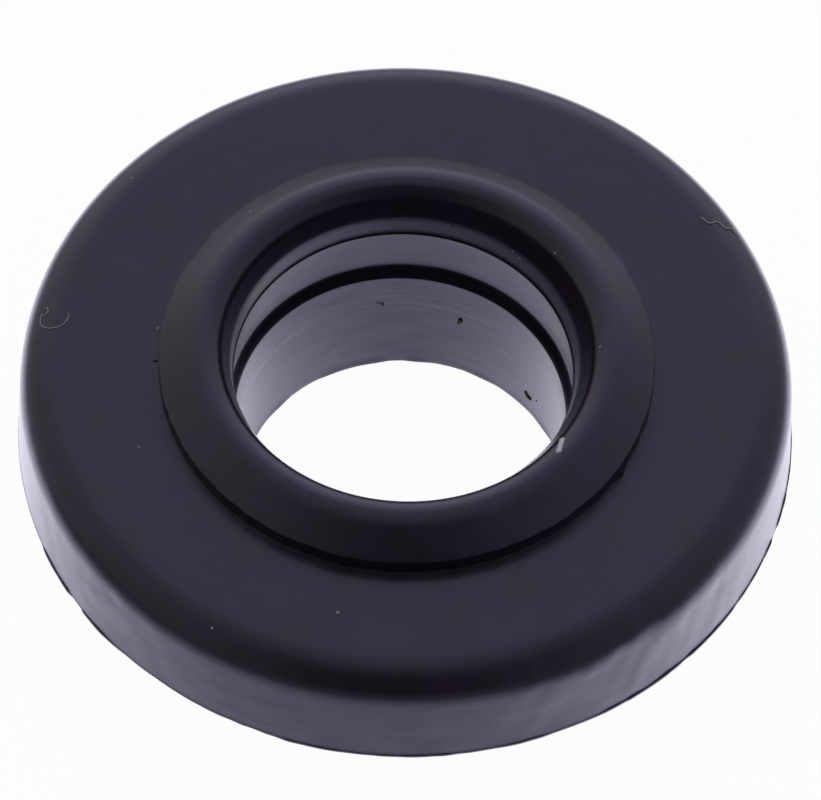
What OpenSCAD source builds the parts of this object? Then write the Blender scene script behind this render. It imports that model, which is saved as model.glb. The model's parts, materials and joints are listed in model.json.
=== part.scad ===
// Valve cover bolt seal: one moulded rubber grommet.
// A thick flange carries a raised sealing bead round the bore, a groove inside the bore
// takes the shoulder of the bolt or its sleeve, and a neck below fills the hole in the cover.
// Millimetres, +Z up. The origin is the centre of the neck's flat end, which the part stands on.

/* [Flange] */
// Diameter of the flange where its wall would meet its top
flange_d = 26; // [22:0.5:40]
// Thickness of the flange
flange_t = 4; // [3.2:0.05:8]
// Radius of the rounded top rim
rim_r = 1.25; // [0.3:0.05:2]
// Draft of the outer wall, in degrees
wall_draft = 2; // [0.5:0.1:4]
// How far the mould's flash stands out at the foot of the wall
flash_w = 0.05; // [0.02:0.01:0.3]
// Thickness of the flash
flash_t = 0.12; // [0.05:0.01:0.4]

/* [Bore] */
// Diameter of the bore below the groove
bore_d = 11.2; // [8:0.1:14]
// Depth of the groove, out from the bore
groove_depth = 0.35; // [0.2:0.05:0.6]
// Depth below the flange top at which the bore proper begins
bore_start = 2.92; // [2.2:0.01:3.9]
// Height of the sloping seat between the groove and the bore
seat_h = 0.4; // [0.2:0.05:0.8]
// How far the lip over the groove stands back from the bore
lip_back = 0.07; // [0:0.01:0.15]
// Depth of the lip's edge below the flange top
lip_drop = 0.38; // [0.2:0.01:1]
// Thickness of the lip at its edge
lip_t = 0.12; // [0.05:0.01:0.3]

/* [Sealing bead] */
// Height of the bead's crest above the flange
bead_h = 1.44; // [1:0.01:2]
// Width of the bead, from the bore to its outer step
bead_w = 2.75; // [2.2:0.05:3.6]
// Distance of the crest from the bore
crest_w = 1.34; // [1:0.01:1.6]
// Radius of the crest on its outer side
crest_r_out = 1; // [0.5:0.05:1.4]
// Radius of the crest on its inner side
crest_r_in = 0.78; // [0.4:0.01:1]
// Height of the upright step at the foot of the bead's outer side
step_h = 0.57; // [0.1:0.01:0.9]
// Distance of the throat from the bore, where the bead's inner side turns steeper
throat_w = 0.2; // [0.16:0.01:0.4]
// Height of the throat above the flange
throat_h = 0.27; // [0.1:0.01:0.5]

/* [Neck] */
// Wall of the neck round the bore
neck_wall = 2.7; // [1.5:0.1:4]
// Length of the neck below the flange
neck_h = 3.85; // [1.5:0.05:8]
// Radius of the rounded edge at the neck's end
neck_edge_r = 0.4; // [0.1:0.05:0.7]
// Radius of the cove where the neck meets the flange
neck_cove_r = 0.5; // [0.1:0.05:1]

/* [Hidden] */
$fn = 180;

bore_r = bore_d / 2;
groove_r = bore_r + groove_depth;
lip_r = bore_r + lip_back;
neck_r = bore_r + neck_wall;
throat_r = bore_r + throat_w;
crest_r = bore_r + crest_w;
step_r = bore_r + bead_w;
top_z = neck_h + flange_t;
corner_r = flange_d / 2;
base_r = corner_r + flange_t * tan(wall_draft);
rim_centre = [corner_r - rim_r * (1 - sin(wall_draft)) / cos(wall_draft), top_z - rim_r];
foot_cove_r = min(0.1, step_h / 2);
groove_cove_r = groove_depth / 2;

// Largest arc with room for a straight flank that falls by h over the width w beyond the crest.
function arc_limit(w, h) = 0.95 * (w * w + h * h) / (2 * h);

// Radii and centres of the two arcs that meet at the crest.
arc_out = min(crest_r_out, arc_limit(bead_w - crest_w, bead_h - step_h));
arc_in = min(crest_r_in, arc_limit(crest_w - throat_w, bead_h - throat_h));
crest_out = [crest_r, top_z + bead_h - arc_out];
crest_in = [crest_r, top_z + bead_h - arc_in];

// Corners that the bead's straight flanks run down to.
step_corner = [step_r, top_z + step_h];
throat_corner = [throat_r, top_z + throat_h];

// A point at radius r from centre c, in the direction of angle a.
function polar(c, r, a) = c + r * [cos(a), sin(a)];

// Direction from centre c of the point p, and how far round from it a tangent from p touches
// a circle of radius r about c.
function bearing(c, p) = atan2(p.y - c.y, p.x - c.x);
function tangent_turn(c, r, p) = acos(r / norm(p - c));

flank_out = bearing(crest_out, step_corner) + tangent_turn(crest_out, arc_out, step_corner);
flank_in = bearing(crest_in, throat_corner) - tangent_turn(crest_in, arc_in, throat_corner);

// The flanks end just inside the arcs, which run on a little way below them, so that the two
// cross cleanly where they would only touch.
flank_reach = 0.9999;
flank_lap = 5;

// A square corner of side r filled down to a concave quarter circle.
module cove(r) {
    difference() {
        square(r);
        translate([r, r]) circle(r);
    }
}

// The part of a disc of radius r that lies between two directions, up to 120 degrees apart.
module sector(r, from, to) {
    intersection() {
        circle(r);
        polygon([[0, 0], polar([0, 0], 2 * r, from), polar([0, 0], 2 * r, to)]);
    }
}

// Straight-sided body of the section: the neck, the flange and the flanks of the bead.
module section_body() {
    polygon([
        [bore_r, 0],
        [neck_r - neck_edge_r, 0],
        [neck_r, neck_edge_r],
        [neck_r, neck_h],
        [base_r, neck_h],
        polar(rim_centre, rim_r, wall_draft),
        polar(rim_centre, rim_r, 90),
        [step_r, top_z],
        step_corner,
        polar(crest_out, flank_reach * arc_out, flank_out),
        crest_out,
        crest_in,
        polar(crest_in, flank_reach * arc_in, flank_in),
        throat_corner,
        [lip_r, top_z - lip_drop],
        [lip_r, top_z - lip_drop - lip_t],
        [groove_r, top_z - lip_drop - lip_t],
        [groove_r, top_z - bore_start + seat_h],
        [bore_r, top_z - bore_start]
    ]);
}

// Arcs that bulge beyond the straight body.
module section_rounds() {
    translate(rim_centre) circle(rim_r);
    translate(crest_out) sector(arc_out, flank_out - flank_lap, 90);
    translate(crest_in) sector(arc_in, 90, flank_in + flank_lap);
    translate([neck_r - neck_edge_r, neck_edge_r]) circle(neck_edge_r);
}

// Coves that fill the inner corners.
module section_coves() {
    translate([step_r, top_z]) cove(foot_cove_r);
    translate([neck_r, neck_h]) mirror([0, 1]) cove(neck_cove_r);
    translate([groove_r, top_z - lip_drop - lip_t]) mirror([1, 0]) mirror([0, 1]) cove(groove_cove_r);
}

// Thin fin of flash at the parting line, along the foot of the outer wall.
module section_flash() {
    translate([base_r - flash_t, neck_h]) square([flash_t + flash_w, flash_t]);
}

module seal() {
    color([0.08, 0.08, 0.09])
        rotate_extrude() {
            section_body();
            section_rounds();
            section_coves();
            section_flash();
        }
}

seal();
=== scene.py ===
import json
import math

import bpy
import numpy as np
from mathutils import Matrix, Vector
from mathutils.bvhtree import BVHTree


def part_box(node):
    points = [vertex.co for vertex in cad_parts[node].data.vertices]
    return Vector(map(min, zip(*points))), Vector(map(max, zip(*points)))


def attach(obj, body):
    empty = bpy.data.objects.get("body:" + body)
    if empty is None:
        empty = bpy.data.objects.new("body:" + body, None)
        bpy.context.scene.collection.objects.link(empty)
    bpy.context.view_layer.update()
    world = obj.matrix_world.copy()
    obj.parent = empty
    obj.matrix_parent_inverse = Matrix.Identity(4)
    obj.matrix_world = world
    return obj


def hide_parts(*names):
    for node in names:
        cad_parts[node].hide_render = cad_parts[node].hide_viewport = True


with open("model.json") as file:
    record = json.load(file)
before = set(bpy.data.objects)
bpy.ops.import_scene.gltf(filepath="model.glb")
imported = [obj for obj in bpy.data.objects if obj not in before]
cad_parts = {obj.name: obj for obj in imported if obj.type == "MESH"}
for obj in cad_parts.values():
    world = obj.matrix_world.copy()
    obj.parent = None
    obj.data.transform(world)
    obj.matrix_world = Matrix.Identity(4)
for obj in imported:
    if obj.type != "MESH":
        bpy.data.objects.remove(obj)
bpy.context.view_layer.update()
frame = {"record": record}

MM = 0.001

# ---------------------------------------------------------------------------------------------
# Sizes, in millimetres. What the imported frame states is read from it; the rest is the moulding's
# own section, as in the part's source.

mounts = {m["name"]: m for m in frame["record"]["mounts"]}
BORE_R = mounts["bolt_bore"]["dims"]["r_mm"]
NECK_R = mounts["neck"]["dims"]["r_mm"]
NECK_H = mounts["flange_underside"]["pos_m"][2] / MM
LOW, HIGH = (np.array(corner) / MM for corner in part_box("seal"))
OUTER_R = (HIGH[0] - LOW[0]) / 2

FLANGE_R = 13.0
FLANGE_T = 4.0
TOP_Z = NECK_H + FLANGE_T
CREST_Z = HIGH[2] - 0.04
RIM_R = 1.25
WALL_DRAFT = math.radians(2.0)
FLASH_T = 0.12
BASE_R = FLANGE_R + FLANGE_T * math.tan(WALL_DRAFT)

GROOVE_R = BORE_R + 0.29
LIP_R = BORE_R + 0.15
SEAT_TOP_Z = TOP_Z - 2.45
SEAT_LOW_Z = TOP_Z - 2.92
LIP_Z = TOP_Z - 0.5
LIP_T = 0.03

CREST_R = BORE_R + 1.26
CREST_ROUND_OUT = 1.0
CREST_ROUND_IN = 0.72
STEP = (BORE_R + 2.75, TOP_Z + 0.57)
THROAT = (BORE_R + 0.29, TOP_Z + 0.27)

# The core's joint, where the bore's turned rings begin, with their glint painted pale.
TURNED_Z = 3.43
# Columns of the seal's mesh round the axis.
AROUND = 500

# The table, as gloss sees it, with light and shade painted into its glow. Its strength is 1, plain
# white, in front of the seal and GLOSS_BEHIND beside and behind it, out to POOL_R mm from the axis,
# and it fades to POOL_END of that at POOL_END_R: a painted pool of light. More than 1 is more light
# on the wall and the bore than a white table gives.
GLOSS_FRONT = 1.0
GLOSS_BEHIND = 2.5
POOL_R = 19
POOL_END_R = 39
POOL_END = 0.2
# Painted shade: shares of the glow that are left inside the bore, in the middle and towards its two sides.
IN_BORE_MIDDLE = 0.53
IN_BORE_SIDES = 0.71
# How much of the table is glow to gloss and to the camera. The rest is lit paper with the shadow.
GLOSS_SHARE = 0.85
VIEW_SHARE = 0.97

TENT_GLOW = 0.76
TENT_COLOUR = "#f6f3ff"
TENT_LEFT_COLOUR = "#fffcf2"

# Nicks in the bead's step and hollows and swells in the rim, each as (angle round
# +Z in degrees, radius, height, width, push away from the axis) in mm.
DENTS = [
    (329.5, STEP[0], TOP_Z + 0.1, 0.22, 0.14),
    (332.0, STEP[0], TOP_Z + 0.25, 0.15, 0.08),
    (311.0, FLANGE_R, 6.9, 0.5, -0.05),
    (315.0, FLANGE_R, 6.4, 0.4, 0.03),
    (305.0, FLANGE_R, 6.7, 0.4, -0.04),
    (299.0, FLANGE_R, 6.6, 0.3, 0.03),
    (292.0, FLANGE_R, 6.6, 0.3, -0.02),
    (218.0, FLANGE_R, 5.6, 0.4, 0.03),
    (223.0, FLANGE_R, 6.4, 0.4, -0.03),
]


# ---------------------------------------------------------------------------------------------
# Small helpers

def linear(colour):
    """Turns an sRGB hex colour such as "#101012" into linear RGBA."""
    channels = np.array([int(colour[i:i + 2], 16) for i in (1, 3, 5)]) / 255
    flat = np.where(channels <= 0.04045, channels / 12.92, ((channels + 0.055) / 1.055) ** 2.4)
    return (*flat.tolist(), 1.0)


def add_node(tree, kind, settings=None, links=None):
    """Adds a node, sets its properties or unlinked inputs, and links inputs to other sockets."""
    node = tree.nodes.new(kind)
    for name, value in (settings or {}).items():
        if isinstance(name, str) and hasattr(node, name):
            setattr(node, name, value)
        else:
            node.inputs[name].default_value = value
    for name, socket in (links or {}).items():
        tree.links.new(socket, node.inputs[name])
    return node


def new_material(name):
    """An empty node material, and its node tree."""
    material = bpy.data.materials.new(name)
    material.use_nodes = True
    material.node_tree.nodes.clear()
    return material, material.node_tree


def tangent_tilt(centre, radius, point, side):
    """Tilt from vertical of the normal where the line from point touches the circle.

    The angle between the centre's line to the point and the radius to the touching point is
    acos(radius / distance); side is +1 for a touch on the right of the crest and -1 on the left.
    """
    across, up = point[0] - centre[0], point[1] - centre[1]
    bearing = math.atan2(up, side * across)
    turn = math.acos(radius / math.hypot(across, up))
    return math.pi / 2 - (bearing + turn)


def rounded_outline(corners):
    """Points along a closed outline whose corners (r, z, radius, spacing) become tangent arcs.

    Each corner is cut back by radius * tan(turn / 2) along both sides, and the arc between the two
    cuts is swept about its centre. The straight run after a corner is divided at its spacing.
    """
    corner_points = np.array([c[:2] for c in corners])
    before = corner_points - np.roll(corner_points, 1, axis=0)
    after = np.roll(corner_points, -1, axis=0) - corner_points
    before /= np.linalg.norm(before, axis=1)[:, None]
    after /= np.linalg.norm(after, axis=1)[:, None]
    arcs = []
    for (r, z, radius, _), a, b in zip(corners, before, after):
        turn = math.atan2(a[0] * b[1] - a[1] * b[0], a @ b)
        start = np.array([r, z]) - a * radius * math.tan(abs(turn) / 2)
        inward = math.copysign(1, turn) * np.array([-a[1], a[0]])
        centre = start + inward * radius
        degrees_each = 7 if radius > 0.6 else 12 if radius > 0.1 else 30
        angles = np.linspace(0, turn, max(1, round(abs(math.degrees(turn)) / degrees_each)) + 1)[:, None]
        arcs.append(centre - radius * (inward * np.cos(angles) - a * np.sin(angles) * np.sign(turn)))
    runs = []
    for corner, arc, following in zip(corners, arcs, arcs[1:] + arcs[:1]):
        gap = np.linalg.norm(following[0] - arc[-1])
        inner = np.linspace(0, 1, max(1, round(gap / corner[3])) + 1)[1:-1, None]
        runs += [arc, arc[-1] + inner * (following[0] - arc[-1])]
    return np.vstack(runs)


def on_ring(degrees, r, z):
    """The point at radius r and height z, at an angle round +Z from +X: x = r cos a, y = r sin a."""
    a = np.radians(degrees)
    return np.stack(np.broadcast_arrays(r * np.cos(a), r * np.sin(a), z), axis=-1)


def round_noise(degrees, knots, seed):
    """Smooth random values from -1 to 1 round a circle: each angle lies between two random knots."""
    values = np.random.default_rng(seed).uniform(-1, 1, knots)
    place = np.asarray(degrees) % 360 / 360 * knots
    low = np.floor(place).astype(int) % knots
    blend = place - np.floor(place)
    blend = blend * blend * (3 - 2 * blend)
    return values[low] * (1 - blend) + values[(low + 1) % knots] * blend


def between(value, low, high, fade):
    """1 where value lies from low to high, fading to 0 over the fade on each side."""
    return np.clip((value - low) / fade + 1, 0, 1) * np.clip((high - value) / fade + 1, 0, 1)


def new_object(name, points, faces):
    """A smooth mesh object at the origin, from points in millimetres and faces of their indices."""
    mesh = bpy.data.meshes.new(name)
    mesh.from_pydata(points * MM, [], faces)
    mesh.polygons.foreach_set("use_smooth", np.ones(len(mesh.polygons), bool))
    mesh.update()
    piece = bpy.data.objects.new(name, mesh)
    bpy.context.scene.collection.objects.link(piece)
    return piece


def mesh_from_grid(name, grid, wrap_rows=True, wrap_columns=True):
    """A mesh object from a grid of points in millimetres, with a quad between each four neighbours.

    wrap_rows joins the last row to the first, and wrap_columns the last column to the first.
    """
    rows, columns = grid.shape[:2]
    index = np.arange(rows * columns).reshape(rows, columns)
    if wrap_rows:
        index = np.vstack([index, index[:1]])
    if wrap_columns:
        index = np.hstack([index, index[:, :1]])
    quads = np.stack([index[:-1, :-1], index[1:, :-1], index[1:, 1:], index[:-1, 1:]], axis=-1)
    return new_object(name, grid.reshape(-1, 3), quads.reshape(-1, 4).tolist())


def closed_tubes(name, rings, first_tips, last_tips):
    """One mesh of closed tubes, from rings of points (tube, ring, point) and a tip at each end.

    Quads join each ring to the next, and a fan of triangles closes each end on its single tip.
    """
    tubes, rows, columns = rings.shape[:3]
    ring = 1 + np.arange(rows * columns).reshape(rows, columns)
    after = np.roll(ring, -1, axis=1)
    sides = np.stack([ring[:-1], ring[1:], after[1:], after[:-1]], axis=-1).reshape(-1, 4)
    first_fan = np.stack([0 * ring[0], ring[0], after[0]], axis=-1)
    last_fan = np.stack([0 * ring[0] + rows * columns + 1, after[-1], ring[-1]], axis=-1)
    fans = np.vstack([first_fan, last_fan])
    points = np.concatenate([first_tips[:, None], rings.reshape(tubes, -1, 3), last_tips[:, None]], axis=1)
    starts = (np.arange(tubes) * (rows * columns + 2))[:, None, None]
    faces = (sides + starts).reshape(-1, 4).tolist() + (fans + starts).reshape(-1, 3).tolist()
    return new_object(name, points.reshape(-1, 3), faces)


# ---------------------------------------------------------------------------------------------
# The seal

def seal_corners():
    """The section's corners as (r, z, rounding radius, spacing), from the bore's lower edge."""
    out_centre = (CREST_R, CREST_Z - CREST_ROUND_OUT)
    in_centre = (CREST_R, CREST_Z - CREST_ROUND_IN)
    tilt_out = tangent_tilt(out_centre, CREST_ROUND_OUT, STEP, 1)
    tilt_in = tangent_tilt(in_centre, CREST_ROUND_IN, THROAT, -1)
    return [
        (BORE_R, 0, 0.03, 3),
        # The neck, and the cove where it meets the flange.
        (NECK_R, 0, 0.4, 4),
        (NECK_R, NECK_H, 0.5, 3),
        # The flash, the wall and the rim.
        (OUTER_R, NECK_H, 0.02, 1),
        (OUTER_R, NECK_H + FLASH_T, 0.02, 1),
        (BASE_R, NECK_H + FLASH_T, 0.02, 0.16),
        (FLANGE_R, TOP_Z, RIM_R, 0.4),
        # The bead: the step at its foot, its crest's two rounds, and the throat.
        (STEP[0], TOP_Z, 0.012, 0.2),
        (*STEP, 0.06, 0.25),
        (CREST_R + CREST_ROUND_OUT * math.tan(tilt_out / 2), CREST_Z, CREST_ROUND_OUT * 0.999, 1),
        (CREST_R - CREST_ROUND_IN * math.tan(tilt_in / 2), CREST_Z, CREST_ROUND_IN * 0.999, 0.2),
        (*THROAT, 0.3, 0.15),
        # The lip, the groove under it and the sloping seat.
        (LIP_R + 0.015, LIP_Z + 0.08, 0.03, 1),
        (LIP_R - 0.03, LIP_Z, 0.015, 1),
        (LIP_R - 0.03, LIP_Z - LIP_T, 0.015, 1),
        (GROOVE_R, LIP_Z - LIP_T, 0.15, 0.3),
        (GROOVE_R, SEAT_TOP_Z, 0.5, 0.2),
        (BORE_R, SEAT_LOW_Z, 0.03, 0.1),
    ]


def mould_offset(outline):
    """How far the mould's core and bead ring stood off the flange's axis at each height, x and y."""
    r, z = outline[:, 0], outline[:, 1]
    inner = (r < BORE_R + 0.9) & ((z > 0.3) | (r < BORE_R + 0.05))
    heights = [0, SEAT_LOW_Z, LIP_Z, THROAT[1], TOP_Z + 1]
    x = np.where(inner, np.interp(z, heights, [-0.014, -0.16, -0.10, -0.05, 0]), 0)
    y = np.where(inner, np.interp(z, heights, [0, 0, 0, 0, -0.05]), 0)
    on_bead = (r < STEP[0] + 0.2) & (z > TOP_Z - 0.01) & ~inner
    return x, np.where(on_bead, -0.08, y)


def flash_edge(degrees):
    """How far the torn flash stands out of the wall's foot, in mm, at each angle.

    It is ragged all round. Two stretches stand out further, and five are torn short or to nothing.
    """
    torn = 0.035 + 0.02 * round_noise(degrees, 60, 3) + 0.012 * round_noise(degrees, 200, 4)
    torn = torn + 0.035 * between(degrees, 306, 313, 0.4) + 0.03 * between(degrees, 319, 325, 2)
    torn = torn - 0.08 * between(degrees, 226, 250, 5) - 0.03 * between(degrees, 257, 296, 6)
    torn = torn - 0.09 * between(degrees, 150, 201, 3) - 0.07 * between(degrees, 213, 215, 1)
    torn = torn - 0.05 * between(degrees, 342.2, 343.8, 0.5)
    return np.clip(torn, -0.06, OUTER_R - BASE_R - 0.002)


def worn(grid, outline, degrees):
    """Works the moulding's faults into the surface, along the radial direction.

    A dent moves the points near its centre by push * exp(-(distance / width) ** 2).
    """
    r, z = outline[None, :, 0], outline[None, :, 1]
    out = on_ring(degrees, 1.0, 0.0)
    push = np.zeros(grid.shape[:2])
    in_flash = (r > BASE_R + 0.01) & (z < NECK_H + FLASH_T + 0.01)
    push += np.where(in_flash, flash_edge(degrees) + BASE_R - OUTER_R, 0)
    in_bore = (r < BORE_R + 0.001) & (z < SEAT_LOW_Z)
    low_edge = np.exp(-z / 0.12) * (0.03 + 0.035 * round_noise(degrees, 46, 6))
    push -= np.where(in_bore, np.clip(low_edge, 0, 1), 0)
    on_wall = (r > FLANGE_R - 0.9) & (z > NECK_H + FLASH_T)
    uneven = 0.003 + 0.014 * between(degrees, 290, 328, 6) + 0.006 * between(degrees, 205, 232, 6)
    waves = round_noise(degrees, 90, 11) * np.sin(1.7 * z) + round_noise(degrees, 170, 12) * np.cos(2.6 * z)
    push += np.where(on_wall, uneven * waves - 0.01, 0)
    at_foot = (np.abs(r - STEP[0]) < 0.2) & (z > TOP_Z - 0.01) & (z < STEP[1] + 0.02)
    push += np.where(at_foot, 0.02 * round_noise(degrees, 140, 21) + 0.015 * round_noise(degrees, 60, 22), 0)
    grid = grid + push[..., None] * out
    for angle, ring_r, height, width, depth in DENTS:
        centre = on_ring(angle, ring_r, height)
        near = np.exp(-np.sum((grid - centre) ** 2, axis=-1) / width ** 2)
        grid = grid + (depth * near)[..., None] * on_ring(angle, 1.0, 0.0)
    return grid


def turned_rings_painted_glint(tree, place, height):
    """How strongly a turned core's rings show as painted pale glint, from 0 to 1, in the bore under the
    seat.

    The lowest ring is the core's joint, and the ones over it are bands of a noise that runs only
    along Z. A coarser noise breaks them up, as some stretches print better than others.
    """
    bands = add_node(tree, "ShaderNodeTexNoise", {
        "noise_dimensions": "1D", "Scale": 7 / MM, "Detail": 1.0}, {"W": height})
    fine_ring_glints = add_node(tree, "ShaderNodeMapRange", {
        "From Min": 0.55, "From Max": 0.72, "To Min": 0.0, "To Max": 0.6},
        {"Value": bands.outputs["Fac"]})
    # Painted highlight: the core's joint ring is painted fully pale, for its bright glint.
    joint_ring_glint = add_node(tree, "ShaderNodeMapRange", {
        "From Min": (TURNED_Z + 0.03) * MM, "From Max": (TURNED_Z + 0.07) * MM,
        "To Min": 1.0, "To Max": 0.0}, {"Value": height})
    either = add_node(tree, "ShaderNodeMath", {"operation": "MAXIMUM"},
                      {0: fine_ring_glints.outputs[0], 1: joint_ring_glint.outputs[0]})
    below_seat = add_node(tree, "ShaderNodeMapRange", {
        "From Min": (SEAT_LOW_Z - 0.1) * MM, "From Max": SEAT_LOW_Z * MM,
        "To Min": 1.0, "To Max": 0.0}, {"Value": height})
    above_joint = add_node(tree, "ShaderNodeMapRange", {
        "From Min": (TURNED_Z - 0.03) * MM, "From Max": TURNED_Z * MM,
        "To Min": 0.0, "To Max": 1.0}, {"Value": height})
    in_band = add_node(tree, "ShaderNodeMath", {"operation": "MULTIPLY"},
                       {0: below_seat.outputs[0], 1: above_joint.outputs[0]})
    scored = add_node(tree, "ShaderNodeMath", {"operation": "MULTIPLY"},
                      {0: either.outputs[0], 1: in_band.outputs[0]})
    patches = add_node(tree, "ShaderNodeTexNoise", {"Scale": 0.35 / MM, "Detail": 2.0},
                       {"Vector": place})
    printed = add_node(tree, "ShaderNodeMapRange", {
        "From Min": 0.38, "From Max": 0.6, "To Min": 0.2, "To Max": 1.0},
        {"Value": patches.outputs["Fac"]})
    broken_up = add_node(tree, "ShaderNodeMath", {"operation": "MULTIPLY"},
                         {0: scored.outputs[0], 1: printed.outputs[0]})
    flat = add_node(tree, "ShaderNodeVectorMath", {"operation": "MULTIPLY", 1: (1, 1, 0)}, {0: place})
    from_axis = add_node(tree, "ShaderNodeVectorMath", {"operation": "LENGTH"}, {0: flat.outputs[0]})
    in_hole = add_node(tree, "ShaderNodeMath", {"operation": "LESS_THAN", 1: (BORE_R + 0.3) * MM},
                       {0: from_axis.outputs["Value"]})
    in_bore = add_node(tree, "ShaderNodeMath", {"operation": "MULTIPLY"},
                       {0: broken_up.outputs[0], 1: in_hole.outputs[0]})
    return in_bore.outputs[0]


def smudged_gloss(tree, place, height):
    """Specular level: 0.5, and down to 0.37 in streaks on the handled wall and in the bore."""
    low_down = add_node(tree, "ShaderNodeMapRange", {
        "From Min": (TOP_Z - 1.6) * MM, "From Max": (TOP_Z - 1.0) * MM,
        "To Min": 1.0, "To Max": 0.0}, {"Value": height})
    stretched = add_node(tree, "ShaderNodeVectorMath", {"operation": "MULTIPLY", 1: (0.4, 0.4, 1.6)},
                         {0: place})
    streaks = add_node(tree, "ShaderNodeTexNoise", {"Scale": 1.5 / MM, "Detail": 3.0},
                       {"Vector": stretched.outputs[0]})
    marked = add_node(tree, "ShaderNodeMapRange", {
        "From Min": 0.42, "From Max": 0.75, "To Min": 0.0, "To Max": 1.0},
        {"Value": streaks.outputs["Fac"]})
    smudge = add_node(tree, "ShaderNodeMath", {"operation": "MULTIPLY"},
                      {0: marked.outputs[0], 1: low_down.outputs[0]})
    gloss = add_node(tree, "ShaderNodeMapRange", {"To Min": 0.5, "To Max": 0.37},
                     {"Value": smudge.outputs[0]})
    return gloss.outputs[0]


def moulded_rubber():
    """Moulded nitrile rubber: near-black, with the satin skin that a polished mould leaves.

    What it gives the eye: almost no colour of its own, and soft bluish reflections that turn
    white where the surface is seen at a glancing angle. Handling marks dull the wall and the
    bore in streaks, and the skin has a grain of about a fifth of a millimetre. Its black clouds
    from neutral to violet over a couple of millimetres, as wax blooms out of the rubber. Between
    the seat and the core's joint the bore carries the fine rings that a turned core leaves, and
    their glint is painted into the colour as pale rings: painted highlight.
    """
    material, tree = new_material("moulded_nitrile_rubber")
    place = add_node(tree, "ShaderNodeTexCoord").outputs["Object"]
    height = add_node(tree, "ShaderNodeSeparateXYZ", {}, {0: place}).outputs["Z"]
    cloud = add_node(tree, "ShaderNodeTexNoise", {"Scale": 0.6 / MM, "Detail": 3.0}, {"Vector": place})
    clouded = add_node(tree, "ShaderNodeMapRange", {
        "From Min": 0.35, "From Max": 0.65, "To Min": 0.0, "To Max": 1.0},
        {"Value": cloud.outputs["Fac"]})
    black = add_node(tree, "ShaderNodeMix", {
        "data_type": "RGBA", 6: linear("#151d1c"), 7: linear("#271a2e")}, {0: clouded.outputs[0]})
    # Painted highlight: the pale colour #b4b1c4 on the bore's turned rings stands for their glint.
    colour = add_node(tree, "ShaderNodeMix", {"data_type": "RGBA", 7: linear("#b4b1c4")},
                      {0: turned_rings_painted_glint(tree, place, height), 6: black.outputs[2]})
    grain = add_node(tree, "ShaderNodeTexNoise", {"Scale": 5 / MM, "Detail": 2.0}, {"Vector": place})
    skin = add_node(tree, "ShaderNodeBump", {"Strength": 0.12, "Distance": 0.02 * MM},
                    {"Height": grain.outputs["Fac"]})
    shader = add_node(tree, "ShaderNodeBsdfPrincipled", {
        "Roughness": 0.28,
        "IOR": 1.75,
        "Specular Tint": linear("#dedaff"),
    }, {
        "Base Color": colour.outputs[2],
        "Specular IOR Level": smudged_gloss(tree, place, height),
        "Normal": skin.outputs[0],
    })
    add_node(tree, "ShaderNodeOutputMaterial", {}, {"Surface": shader.outputs["BSDF"]})
    return material


def plain_material(name, colour, roughness):
    """A material of one even colour, with a weak gloss, for things too small to show any pattern."""
    material, tree = new_material(name)
    shader = add_node(tree, "ShaderNodeBsdfPrincipled", {
        "Base Color": linear(colour), "Roughness": roughness, "IOR": 1.5})
    add_node(tree, "ShaderNodeOutputMaterial", {}, {"Surface": shader.outputs["BSDF"]})
    return material


def cotton_lint():
    """Cotton lint: a dull pale fibre that stands out thin and grey from the black rubber."""
    return plain_material("cotton_lint", "#b8b6be", 0.8)


def house_dust():
    """House dust: pale matt grains."""
    return plain_material("house_dust", "#aaa8ae", 0.9)


def rubber_bloom():
    """A flake of bloomed rubber: almost white and dusty, the brightest speck on the part."""
    return plain_material("rubber_bloom", "#dcdce8", 0.9)


def torn_rubber():
    """Torn rubber crumbs: a dull broken face, darker than the satin skin around it."""
    return plain_material("torn_rubber", "#0c0b0e", 0.7)


def settle(surface, points):
    """The nearest points of a piece's surface, and the surface's normals there."""
    tree = BVHTree.FromObject(surface, bpy.context.evaluated_depsgraph_get())
    found = [tree.find_nearest(point * MM) for point in points]
    return np.array([f[0] for f in found]) / MM, np.array([f[1] for f in found])


def arc_line(centre, radius, start, end):
    """Points along a circle's arc in the flange's plane, from one angle to another in degrees."""
    turn = np.radians(np.linspace(start, end, 60))
    return np.stack([centre[0] + radius * np.cos(turn), centre[1] + radius * np.sin(turn)], axis=-1)


def swaying_line(start, end, sway, wave):
    """Points from start to end in the flange's plane, swaying to one side by sway * (1 - cos)."""
    along = np.linspace(0, 1, 120)[:, None]
    run = np.array(end) - start
    length = np.hypot(*run)
    aside = np.array([-run[1], run[0]]) / length
    return start + along * run - aside * sway * (1 - np.cos(2 * np.pi * (along * length / wave - 1 / 6)))


def fibre(name, surface, route, thickness):
    """A thread lying on a surface: a tube whose middle line is the route, settled on the surface.

    The route is points (x, y) in mm. Each ring of the tube stands square to the line, and the ends
    shrink to a point, where the tube is closed.
    """
    level = np.full((len(route), 1), TOP_Z)
    line, normal = settle(surface, np.hstack([route, level]))
    line = line + normal * thickness / 2
    ahead = np.gradient(line, axis=0)
    ahead /= np.linalg.norm(ahead, axis=1)[:, None]
    side = np.cross(ahead, normal)
    side /= np.linalg.norm(side, axis=1)[:, None]
    up = np.cross(side, ahead)
    turn = (np.arange(8) * 2 * np.pi / 8)[None, :, None]
    taper = thickness / 2 * np.minimum(np.sin(np.linspace(0, np.pi, len(line))) * 4, 1)
    ring = np.cos(turn) * side[:, None] + np.sin(turn) * up[:, None]
    tube = line[:, None] + taper[:, None, None] * ring
    return closed_tubes(name, tube[None, 1:-1], line[:1], line[-1:])


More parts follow.
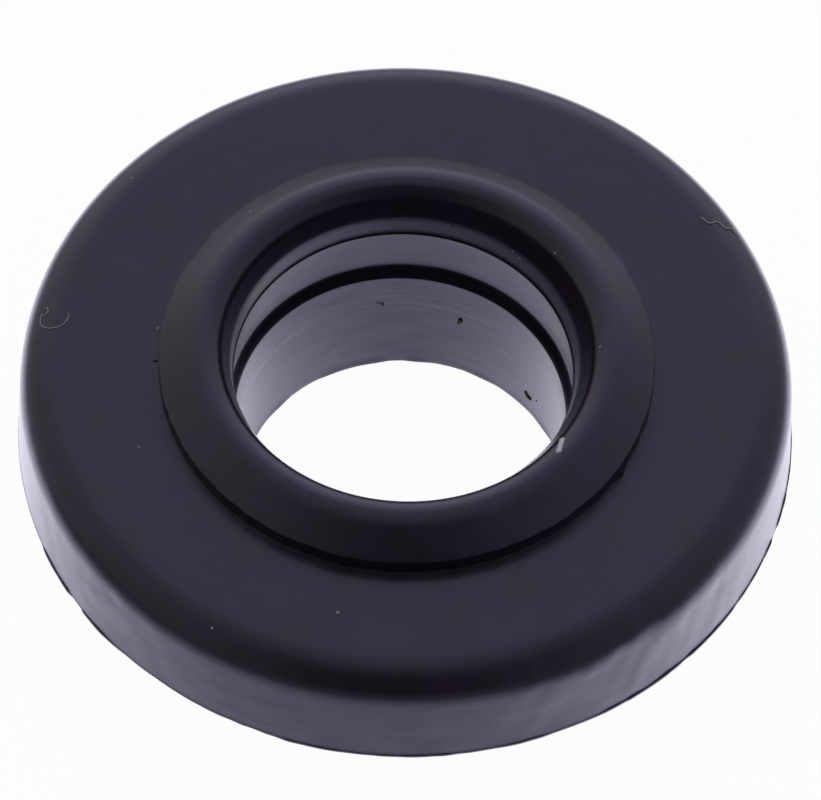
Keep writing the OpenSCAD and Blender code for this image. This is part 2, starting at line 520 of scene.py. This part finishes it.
def grains(name, surface, places):
    """Small lumps on a surface, each (angle in degrees, radius, height, length, width) in mm.

    A lump is a ball of unit radius, scaled to half its length round the ring, half its width
    across, and half its width again along the surface's normal. Its rings run from the top down,
    each pole is one point, and all the lumps are one mesh.
    """
    rows, columns = 8, 12
    lift = np.linspace(np.pi / 2, -np.pi / 2, rows)[1:-1, None]
    turn = (np.arange(columns) * 2 * np.pi / columns)[None, :]
    ball = np.stack([np.cos(lift) * np.cos(turn), np.cos(lift) * np.sin(turn), np.sin(lift) + 0 * turn], -1)
    centres, normals = settle(surface, [on_ring(angle, r, z) for angle, r, z, _, _ in places])
    along = np.array([on_ring(angle + 90, 1.0, 0.0) for angle, *_ in places])
    across = np.cross(normals, along)
    length = np.array([place[3] for place in places])[:, None] / 2
    width = np.array([place[4] for place in places])[:, None] / 2
    axes = np.stack([along * length, across * width, normals * width / 2], axis=1)
    lumps = centres[:, None, None] + np.einsum("rck,nkd->nrcd", ball, axes)
    return closed_tubes(name, lumps, centres + axes[:, 2], centres - axes[:, 2])


def make_seal():
    """The whole moulding: its section swept round the bore's axis, with the moulding's faults."""
    outline = rounded_outline(seal_corners())
    degrees = (np.arange(AROUND) * 360 / AROUND)[:, None]
    grid = on_ring(degrees, outline[None, :, 0], outline[None, :, 1])
    offset_x, offset_y = mould_offset(outline)
    grid[..., 0] += offset_x
    grid[..., 1] += offset_y
    return mesh_from_grid("seal_body", worn(grid, outline, degrees))


seal = make_seal()
seal.data.materials.append(moulded_rubber())
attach(seal, "root")
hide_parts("seal")

# The lint, placed in the flange's plane: one thread sways across the right of the rim,
# and the other is a hook with a small loop at its end, on the left.
LINT_RIGHT = swaying_line((9.8, 6.37), (11.35, 6.14), 0.08, 0.6)
LINT_LEFT = np.vstack([arc_line((-12.36, 1.9), 0.17, 460, 221), arc_line((-12, 1.65), 0.55, 168, 378)])

# Grains, each given as (angle round +Z in degrees, radius, height, length, width) in mm.
DUST = [(258.5, 10.3, TOP_Z, 0.13, 0.12), (240, 12.4, 7.7, 0.1, 0.1), (202.5, 9.6, TOP_Z, 0.08, 0.08),
        (142, 12.1, 7.8, 0.09, 0.08), (135, 7.7, 8.9, 0.12, 0.08), (0, 6.5, 9.1, 0.08, 0.08),
        (38.5, 6.3, 9.0, 0.08, 0.09), (50, 5.85, 7.9, 0.14, 0.08), (53, 5.85, 8.0, 0.1, 0.06),
        (172, 8.5, TOP_Z, 0.1, 0.1)]
FLAKES = [(324 - step, 6.45 + 0.07 * step, 9.2, 0.24, 0.2) for step in range(5)]
FLAKES.append((100.5, BORE_R, 3.55, 0.2, 0.16))
CRUMBS = [(71, BORE_R, 3.0, 0.18, 0.26), (71.5, BORE_R, 2.85, 0.12, 0.2), (99, BORE_R, 3.45, 0.08, 0.22),
          (42, BORE_R, 0.95, 0.16, 0.2), (41, BORE_R, 0.85, 0.2, 0.22), (40, BORE_R, 0.85, 0.2, 0.2),
          (36, BORE_R, 1.15, 0.06, 0.08), (113.5, 8.5, TOP_Z, 0.14, 0.05), (76, 5.9, 7.95, 0.1, 0.08),
          (97, 5.9, 8.0, 0.08, 0.08), (181, 8.45, TOP_Z, 0.1, 0.16)]

for piece, material in (
    (fibre("lint_right", seal, LINT_RIGHT, 0.04), cotton_lint()),
    (fibre("lint_left", seal, LINT_LEFT, 0.03), cotton_lint()),
    (grains("dust_grains", seal, DUST), house_dust()),
    (grains("pale_flakes", seal, FLAKES), rubber_bloom()),
    (grains("rubber_crumbs", seal, CRUMBS), torn_rubber()),
):
    piece.data.materials.append(material)
    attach(piece, "root")


# ---------------------------------------------------------------------------------------------
# Floor, light and camera

def pale_floor():
    """Plain white table: white paper that glows, so that the camera sees it at a strength of 1.

    Its small share of lit paper carries the seal's shadow, which is very faint. Gloss sees a glow of
    another strength, painted with light and shade: a painted pool of light, brighter than white
    beside and behind the seal, towards the bright back of the light tent, and painted shade inside
    the bore, least at the two sides.
    """
    material, tree = new_material("pale_table")
    place = add_node(tree, "ShaderNodeTexCoord").outputs["Object"]
    # Painted light: the glow rises from GLOSS_FRONT in front of the seal to GLOSS_BEHIND beside and behind
    # it.
    across = add_node(tree, "ShaderNodeVectorMath", {"operation": "DOT_PRODUCT", 1: (0.25, 1, 0)},
                      {0: place})
    lit = add_node(tree, "ShaderNodeMapRange", {
        "From Min": -18 * MM, "From Max": -4 * MM, "To Min": GLOSS_FRONT, "To Max": GLOSS_BEHIND},
        {"Value": across.outputs["Value"]})
    from_axis = add_node(tree, "ShaderNodeVectorMath", {"operation": "LENGTH"}, {0: place})
    axes = add_node(tree, "ShaderNodeSeparateXYZ", {}, {0: place})
    aside = add_node(tree, "ShaderNodeMath", {"operation": "ABSOLUTE"}, {0: axes.outputs["X"]})
    # Painted shade: the glow is lowered inside the bore, where the seal shades the table.
    in_bore = add_node(tree, "ShaderNodeMapRange", {
        "From Min": 0.5 * MM, "From Max": 3.2 * MM, "To Min": IN_BORE_MIDDLE, "To Max": IN_BORE_SIDES},
        {"Value": aside.outputs[0]})
    painted_bore_shade = add_node(tree, "ShaderNodeMapRange", {
        "From Min": BORE_R * MM, "From Max": NECK_R * MM, "To Max": 1.0},
        {"Value": from_axis.outputs["Value"], "To Min": in_bore.outputs[0]})
    # Painted pool of light: the glow is strongest near the seal and fades further out.
    painted_light_pool = add_node(tree, "ShaderNodeMapRange", {
        "interpolation_type": "SMOOTHSTEP",
        "From Min": POOL_R * MM, "From Max": POOL_END_R * MM, "To Min": 1.0, "To Max": POOL_END},
        {"Value": from_axis.outputs["Value"]})
    nearby = add_node(tree, "ShaderNodeMath", {"operation": "MULTIPLY"},
                      {0: painted_light_pool.outputs[0], 1: painted_bore_shade.outputs[0]})
    level = add_node(tree, "ShaderNodeMath", {"operation": "MULTIPLY"},
                     {0: lit.outputs[0], 1: nearby.outputs[0]})
    path = add_node(tree, "ShaderNodeLightPath")
    paper = add_node(tree, "ShaderNodeBsdfDiffuse", {"Color": linear("#f4f4f4")})
    white = add_node(tree, "ShaderNodeEmission", {"Color": linear("#ffffff"), "Strength": 1.0})
    shown = add_node(tree, "ShaderNodeEmission", {"Color": linear("#f4f1ff")},
                     {"Strength": level.outputs[0]})
    in_view = add_node(tree, "ShaderNodeMath", {"operation": "MULTIPLY", 1: VIEW_SHARE},
                       {0: path.outputs["Is Camera Ray"]})
    in_gloss = add_node(tree, "ShaderNodeMath", {"operation": "MULTIPLY", 1: GLOSS_SHARE},
                        {0: path.outputs["Is Glossy Ray"]})
    table = add_node(tree, "ShaderNodeMixShader", {}, {
        0: in_view.outputs[0], 1: paper.outputs[0], 2: white.outputs[0]})
    both = add_node(tree, "ShaderNodeMixShader", {}, {
        0: in_gloss.outputs[0], 1: table.outputs[0], 2: shown.outputs[0]})
    add_node(tree, "ShaderNodeOutputMaterial", {}, {"Surface": both.outputs[0]})
    return material


def make_floor(size=6000):
    """A square sheet, size millimetres wide, a hair under the neck so that the two never meet."""
    across = np.array([-0.5, 0.5]) * size
    x, y = np.meshgrid(across, across, indexing="ij")
    floor = mesh_from_grid("floor", np.stack([x, y, 0 * x - 0.005], axis=-1), False, False)
    floor.data.materials.append(pale_floor())


def fill_ramp(node, stops):
    """Sets a colour ramp's stops, each a place from 0 to 1 and a grey level."""
    elements = node.color_ramp.elements
    while len(elements) > 1:
        elements.remove(elements[-1])
    for place, level in stops:
        stop = elements[0] if place == 0 else elements.new(place)
        stop.position = place
        stop.color = (level, level, level, 1)


def light_tent():
    """Soft light from every side: bright low down behind the seal, dim from the camera's side.

    A direction's turn over the tent is atan2(z, y), from 0 at the back to pi at the front. One
    ramp over it holds for the middle of the tent and one for its two sides, |x| near 1.
    """
    world = bpy.data.worlds.new("light_tent")
    bpy.context.scene.world = world
    world.use_nodes = True
    tree = world.node_tree
    tree.nodes.clear()
    direction = add_node(tree, "ShaderNodeTexCoord")
    axes = add_node(tree, "ShaderNodeSeparateXYZ", {}, {0: direction.outputs["Generated"]})
    turn = add_node(tree, "ShaderNodeMath", {"operation": "ARCTAN2"},
                    {0: axes.outputs["Z"], 1: axes.outputs["Y"]})
    over = add_node(tree, "ShaderNodeMath", {"operation": "DIVIDE", 1: math.pi},
                    {0: turn.outputs[0]})
    middle = add_node(tree, "ShaderNodeValToRGB", {}, {"Fac": over.outputs[0]})
    fill_ramp(middle, [(0.0, 1.5), (0.1, 1.4), (0.2, 1.2), (0.3, 0.8), (0.38, 0.57), (0.5, 0.51),
                       (0.57, 0.36), (0.62, 0.2), (0.67, 0.12), (0.75, 0.09), (1.0, 0.07)])
    sides = add_node(tree, "ShaderNodeValToRGB", {}, {"Fac": over.outputs[0]})
    fill_ramp(sides, [(0.0, 0.62), (0.5, 0.51), (1.0, 0.34)])
    aside = add_node(tree, "ShaderNodeMath", {"operation": "ABSOLUTE"}, {0: axes.outputs["X"]})
    apart = add_node(tree, "ShaderNodeMapRange", {
        "interpolation_type": "SMOOTHSTEP", "From Min": 0.1, "From Max": 0.9},
        {"Value": aside.outputs[0]})
    level = add_node(tree, "ShaderNodeMix", {"data_type": "RGBA"}, {
        0: apart.outputs[0], 6: middle.outputs[0], 7: sides.outputs[0]})
    from_left = add_node(tree, "ShaderNodeMapRange", {
        "From Min": -0.1, "From Max": -0.7, "To Min": 0.0, "To Max": 1.0},
        {"Value": axes.outputs["X"]})
    cloth = add_node(tree, "ShaderNodeMix", {
        "data_type": "RGBA", 6: linear(TENT_COLOUR), 7: linear(TENT_LEFT_COLOUR)},
        {0: from_left.outputs[0]})
    tinted = add_node(tree, "ShaderNodeMix", {"data_type": "RGBA", "blend_type": "MULTIPLY", 0: 1.0},
                      {6: level.outputs[2], 7: cloth.outputs[2]})
    glow = add_node(tree, "ShaderNodeBackground", {"Strength": TENT_GLOW}, {"Color": tinted.outputs[2]})
    white = add_node(tree, "ShaderNodeBackground", {"Color": linear("#ffffff")})
    path = add_node(tree, "ShaderNodeLightPath")
    both = add_node(tree, "ShaderNodeMixShader", {}, {
        0: path.outputs["Is Camera Ray"], 1: glow.outputs[0], 2: white.outputs[0]})
    add_node(tree, "ShaderNodeOutputWorld", {}, {"Surface": both.outputs[0]})


def make_camera():
    """A long lens 325 mm from the flange's top, 55.3 degrees up, leaning 1.5 degrees."""
    data = bpy.data.cameras.new("camera")
    camera = bpy.data.objects.new("camera", data)
    bpy.context.scene.collection.objects.link(camera)
    bpy.context.scene.camera = camera
    distance = 325.0
    elevation = math.radians(55.33)
    roll = math.radians(1.49)
    # How far the camera aims off the flange's middle, as shares of the flange's radius.
    aim_right = 0.0103
    aim_down = 0.1022
    data.sensor_width = 36
    data.lens = 423.5
    data.clip_start = 0.01
    data.clip_end = 20
    back = Vector((0, -math.cos(elevation), math.sin(elevation)))
    level_up = Vector((0, math.sin(elevation), math.cos(elevation)))
    right = Vector((1, 0, 0)) * math.cos(roll) + level_up * math.sin(roll)
    up = back.cross(right)
    aim = Vector((0, 0, TOP_Z + 0.2)) + right * aim_right * FLANGE_R - up * aim_down * FLANGE_R
    place = aim + back * distance
    camera.matrix_world = Matrix.Translation(place * MM) @ Matrix((right, up, back)).transposed().to_4x4()


make_floor()
light_tent()
make_camera()

bpy.context.scene.view_settings.view_transform = "Standard"
